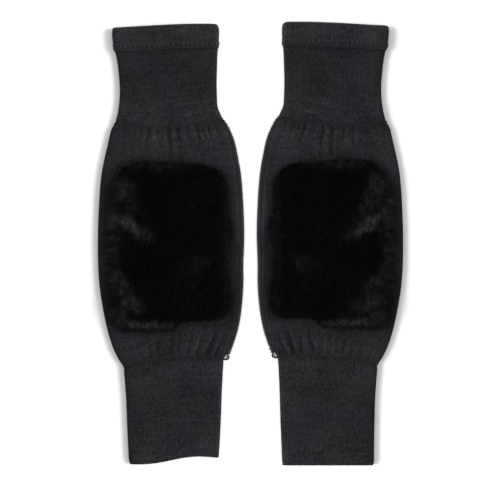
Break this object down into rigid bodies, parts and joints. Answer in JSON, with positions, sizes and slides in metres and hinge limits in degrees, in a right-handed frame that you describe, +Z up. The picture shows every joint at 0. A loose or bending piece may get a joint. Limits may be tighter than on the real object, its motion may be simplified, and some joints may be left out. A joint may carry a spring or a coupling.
{
  "type": "pair of leg warmers",
  "caption": "Pair of dark knitted leg warmers laid flat: plain cuffs, a gathered knee section with an edge seam, and a deep-pile plush pad over each knee.",
  "frame": {"origin": "middle of the pair's bounding box, on the surface it lies on", "axes": "+X across the pair, from the warmer whose side seam faces +X to the other; +Y up the leg towards the thigh bands; +Z up from the surface, through the plush pads"},
  "size_m": [0.3118, 0.4516, 0.0141],
  "materials": {
    "cuff_knit": "dense charcoal marl knit, soft and matt",
    "band_knit": "double charcoal marl knit, turned over and stitched",
    "knee_knit": "thick charcoal marl knit, gathered at its ends",
    "seam_knit": "two raw edges of the same knit, overcast together",
    "plush": "black deep-pile plush with a soft sheen"
  },
  "bodies": {
    "root": {"left_top_band": "band_knit", "left_thigh_cuff": "cuff_knit", "left_knee_tube": "knee_knit", "left_side_seam": "seam_knit", "left_plush_pad": "plush", "left_calf_cuff": "cuff_knit", "right_top_band": "band_knit", "right_thigh_cuff": "cuff_knit", "right_knee_tube": "knee_knit", "right_side_seam": "seam_knit", "right_plush_pad": "plush", "right_calf_cuff": "cuff_knit"}
  },
  "joints": []
}
